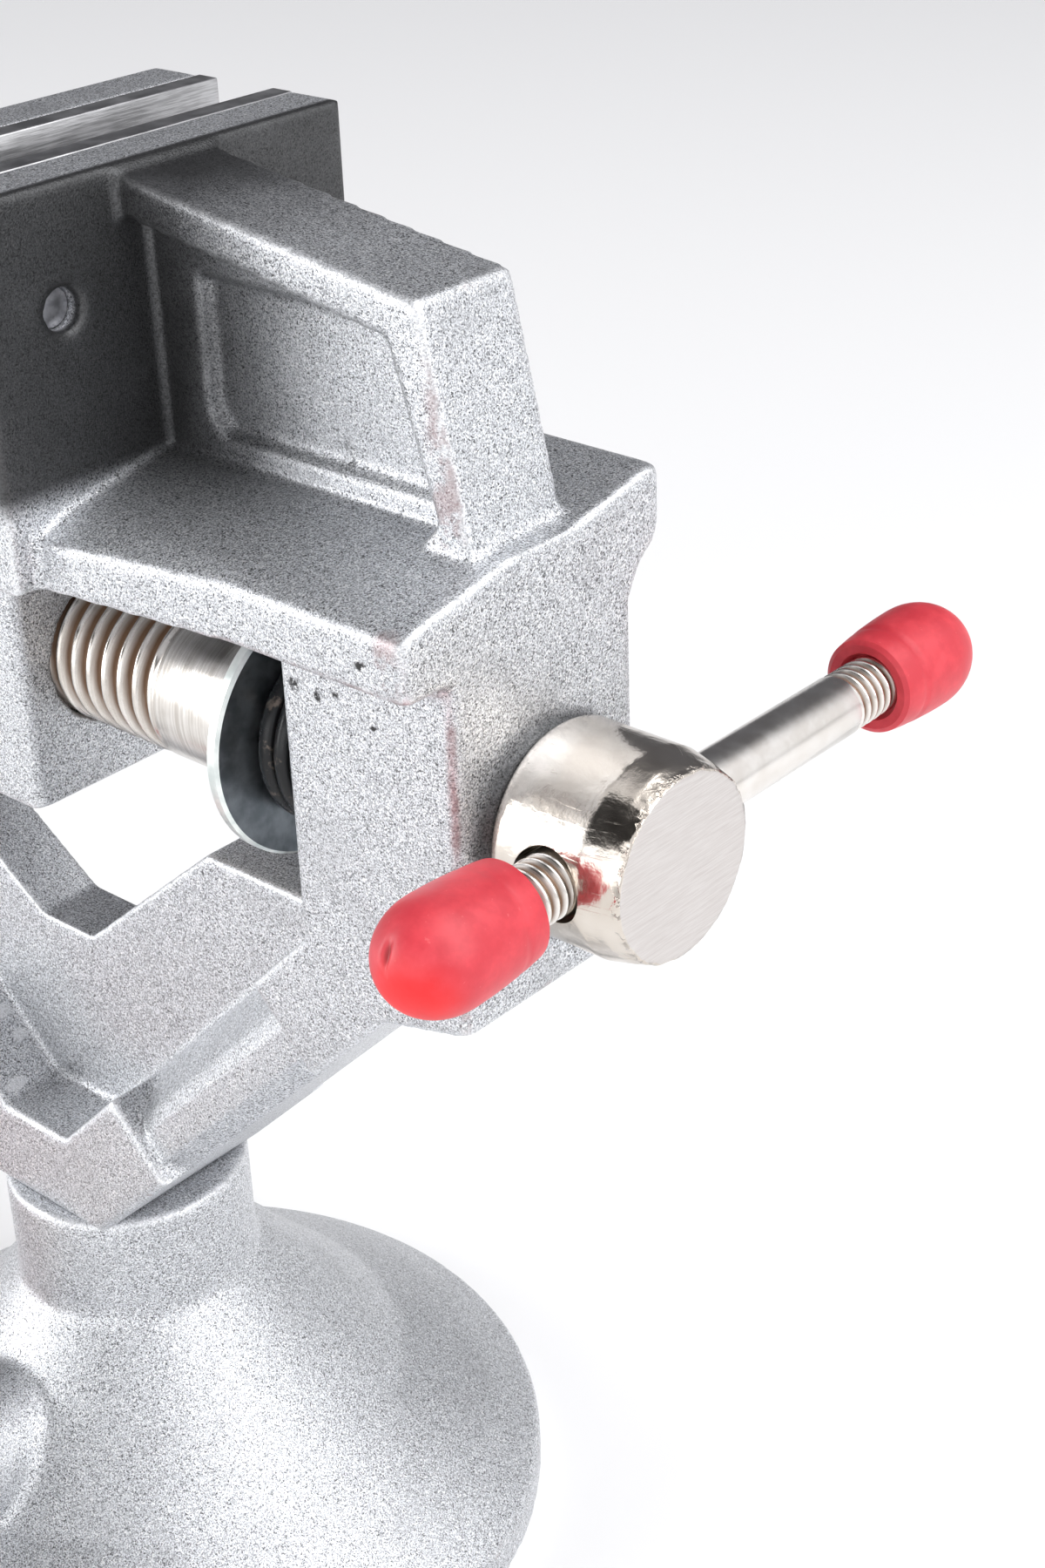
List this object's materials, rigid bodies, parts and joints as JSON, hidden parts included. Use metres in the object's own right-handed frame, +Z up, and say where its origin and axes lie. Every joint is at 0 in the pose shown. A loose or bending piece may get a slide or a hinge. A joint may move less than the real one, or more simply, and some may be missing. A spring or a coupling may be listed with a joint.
{
  "type": "suction base vise",
  "caption": "Small cast vise on a suction base: screw-driven sliding jaw, cross handle with soft end caps, thrust spring and washer, and a cam lever that draws the cup up",
  "frame": {"origin": "centre of the suction base on the bench face", "axes": "+X runs along the lead screw towards the handle, +Z is up from the bench, -Y is the side of the suction lever"},
  "size_m": [0.1155, 0.0769, 0.1304],
  "materials": {
    "casting": "tumbled cast metal with a fine sparkling grain",
    "jaw_steel": "ground steel",
    "fastener": "bright fastener steel",
    "screw_steel": "oiled machined steel",
    "nickel": "nickel plate, brushed at the end face",
    "zinc": "zinc plate",
    "black_spring": "black oxide",
    "red_cap": "soft dipped vinyl, slight sheen",
    "cup_rubber": "matt moulded rubber"
  },
  "bodies": {
    "frame": {"base_housing": "casting", "suction_cup": "cup_rubber", "vise_frame": "casting", "foot_screws": "fastener", "fixed_jaw_plate": "jaw_steel", "fixed_plate_screws": "fastener", "thrust_spring": "black_spring"},
    "screw": {"lead_screw": "screw_steel", "handle_head": "nickel", "thrust_washer": "zinc"},
    "handle": {"handle_bar": "nickel", "near_cap": "red_cap", "far_cap": "red_cap"},
    "jaw": {"sliding_jaw": "casting", "nut_block": "casting", "slide_screws": "fastener", "moving_jaw_plate": "jaw_steel", "moving_plate_screws": "fastener"},
    "lever": {"lever_arm": "nickel", "lever_grip": "red_cap", "cam_shaft": "screw_steel", "lift_cam": "screw_steel", "hub_pin": "screw_steel", "shaft_clip": "black_spring"},
    "plunger": {"cup_plunger": "screw_steel"}
  },
  "joints": [
    {"name": "screw_turn", "type": "hinge", "parent": "frame", "child": "screw", "pos_m": [0, 0, 0.09], "axis": [1, 0, 0], "range_deg": [-1174.6, 4527.7]},
    {"name": "jaw_slide", "type": "slide", "parent": "frame", "child": "jaw", "axis": [-1, 0, 0], "range_m": [-0.0057, 0.022]},
    {"name": "handle_slide", "type": "slide", "parent": "screw", "child": "handle", "axis": [0, 1, 0], "range_m": [-0.0212, 0.0032]},
    {"name": "lever_swing", "type": "hinge", "parent": "frame", "child": "lever", "pos_m": [0, 0, 0.017], "axis": [0, 1, 0], "range_deg": [-0.5, 90.5]},
    {"name": "plunger_lift", "type": "slide", "parent": "frame", "child": "plunger", "axis": [0, 0, 1], "range_m": [0, 0.002], "deforming": ["suction_cup"]}
  ],
  "couplings": [
    {"joint": "screw_turn", "follows": "jaw_slide", "rad_per_m": 3590.4},
    {"joint": "lever_swing", "follows": "plunger_lift", "rad_per_m": 785.4}
  ]
}
